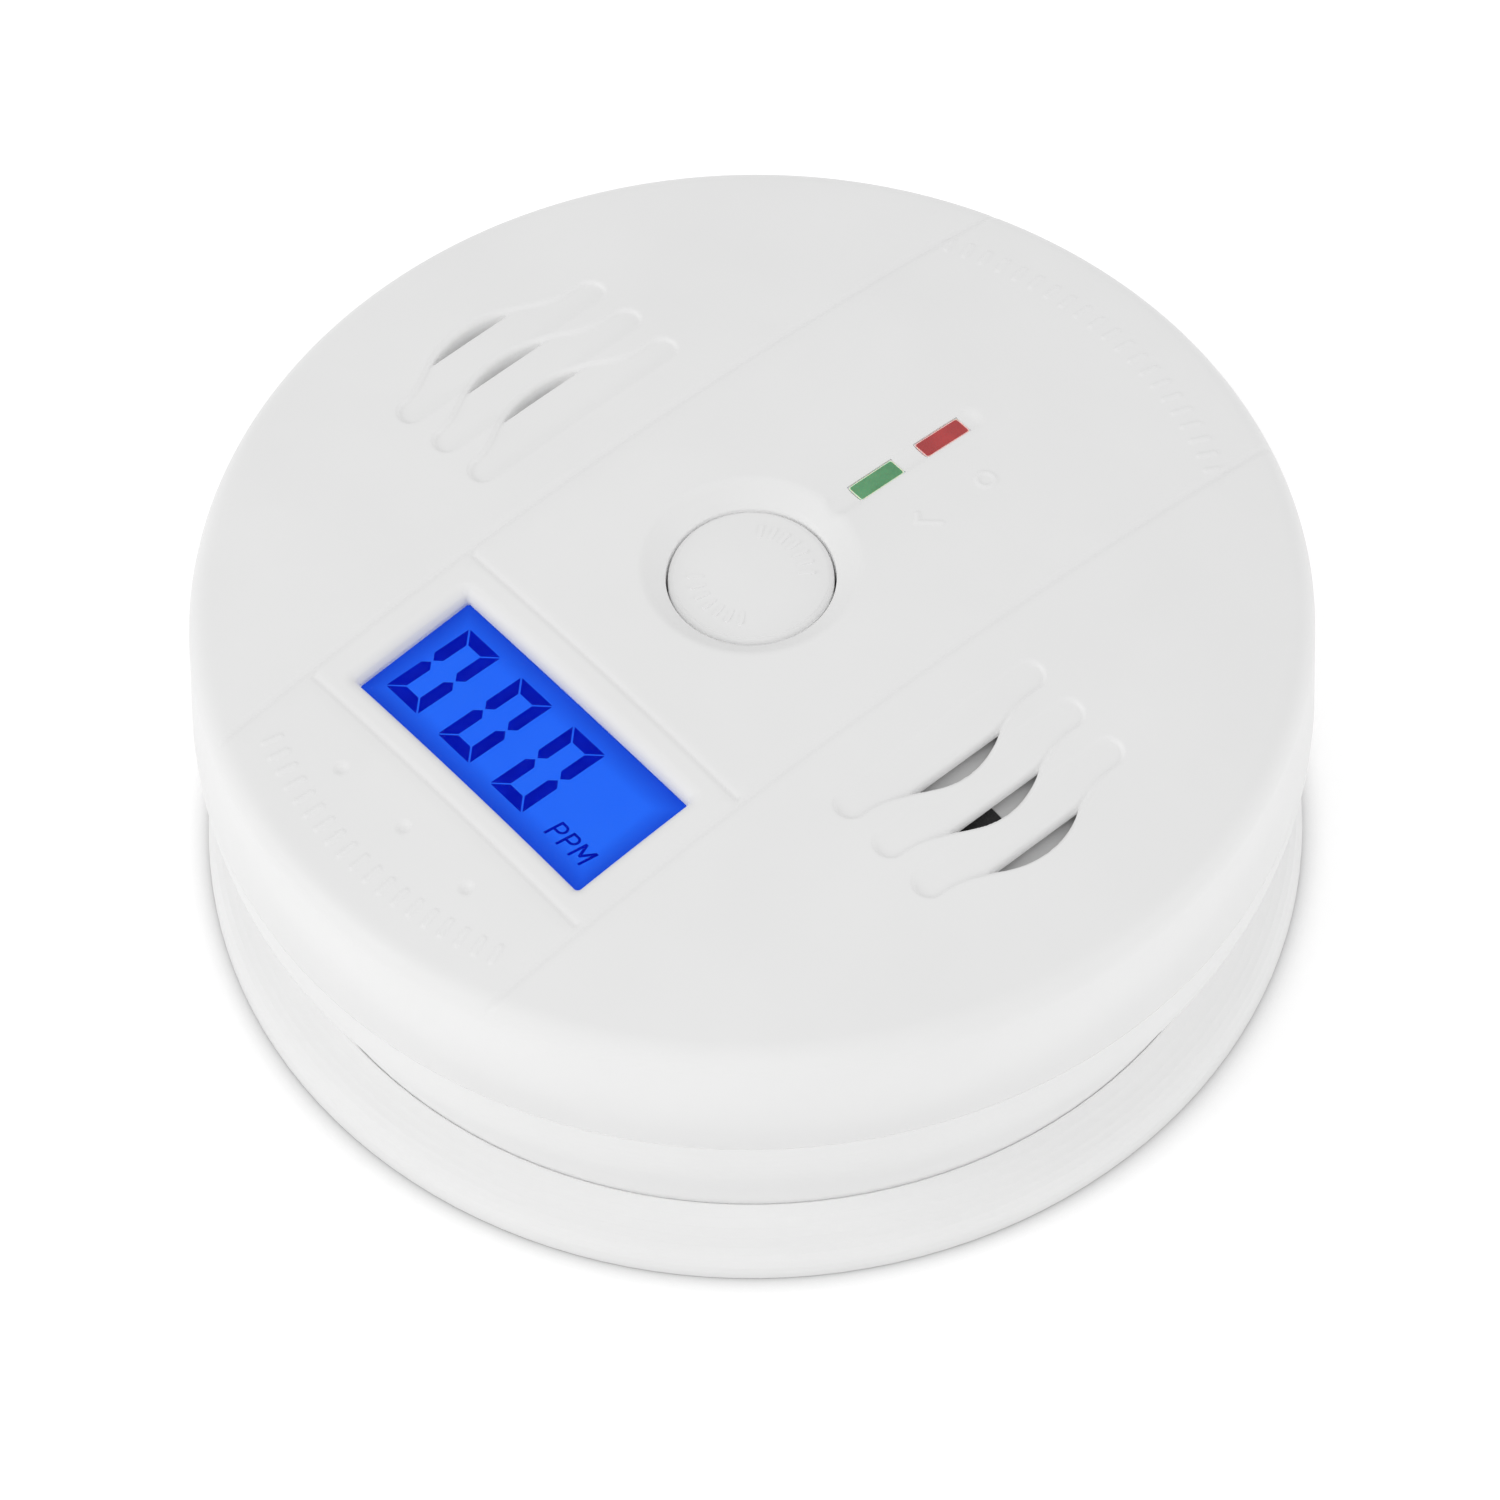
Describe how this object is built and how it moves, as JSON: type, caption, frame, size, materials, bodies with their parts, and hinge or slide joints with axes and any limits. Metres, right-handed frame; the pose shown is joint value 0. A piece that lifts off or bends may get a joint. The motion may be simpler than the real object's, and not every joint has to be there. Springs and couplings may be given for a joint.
{
  "type": "carbon monoxide detector",
  "caption": "Round battery carbon monoxide alarm with a domed face, lit digital display, central push button, crescent louvres and a twist-off wall plate.",
  "frame": {"origin": "middle of the mounting plate's back face, where it meets the wall", "axes": "+Z out of the wall through the domed face, +Y to the top of the face (away from the display), +X to the sensor louvres on the right as the face is read"},
  "size_m": [0.1, 0.1, 0.0373],
  "materials": {
    "cover_plastic": "fine satin moulded ABS",
    "housing_plastic": "fine satin moulded ABS",
    "plate_plastic": "fine satin moulded ABS",
    "button_plastic": "fine satin moulded ABS",
    "steel_screws": "zinc-plated",
    "cell_jacket": null,
    "spring_steel": "nickel-plated",
    "contact_plate": "nickel-plated",
    "board_laminate": "satin solder resist",
    "chip_black": "matt epoxy",
    "capacitor_sleeve": "satin sleeve",
    "chip_tan": "matt ceramic",
    "sensor_metal": "satin can",
    "inner_plastic": "matt moulded plastic",
    "carbon_filter": "matt carbon felt",
    "brass_disc": "satin",
    "switch_black": "satin",
    "led_body": "matt",
    "green_pipe": "polished translucent acrylic",
    "red_pipe": "polished translucent acrylic",
    "clear_lens": "polished clear acrylic",
    "lcd_glass": "polished, lit from behind",
    "lcd_segments": "printed segments",
    "backlight_plastic": "polished light guide",
    "elastomer": "matt elastomer"
  },
  "bodies": {
    "mount": {"mounting_plate": "plate_plastic"},
    "alarm": {"rear_housing": "housing_plastic", "front_cover": "cover_plastic", "cover_screws": "steel_screws", "battery_1": "cell_jacket", "battery_2": "cell_jacket", "battery_3": "cell_jacket", "battery_springs": "spring_steel", "battery_contacts": "contact_plate", "circuit_board": "board_laminate", "board_screws": "steel_screws", "microcontroller": "chip_black", "boost_transformer": "chip_black", "capacitors": "capacitor_sleeve", "chip_parts": "chip_tan", "gas_sensor": "sensor_metal", "sensor_shroud": "inner_plastic", "sensor_filter": "carbon_filter", "sounder_case": "inner_plastic", "sounder_disc": "brass_disc", "tact_switch": "switch_black", "button_spring": "spring_steel", "power_led": "led_body", "alarm_led": "led_body", "power_light_pipe": "green_pipe", "alarm_light_pipe": "red_pipe", "display_lens": "clear_lens", "display_glass": "lcd_glass", "display_segments": "lcd_segments", "display_backlight": "backlight_plastic", "display_frame": "inner_plastic", "display_connectors": "elastomer"},
    "button": {"test_button": "button_plastic", "switch_plunger": "switch_black"}
  },
  "joints": [
    {"name": "bayonet_twist", "type": "hinge", "parent": "mount", "child": "alarm", "pos_m": [0, 0, 0], "axis": [0, 0, 1], "range_deg": [0, 18]},
    {"name": "button_press", "type": "slide", "parent": "alarm", "child": "button", "axis": [0, 0, -1], "range_m": [0, 0.0006], "stiffness_N_per_m": 1500, "deforming": ["button_spring"]}
  ]
}
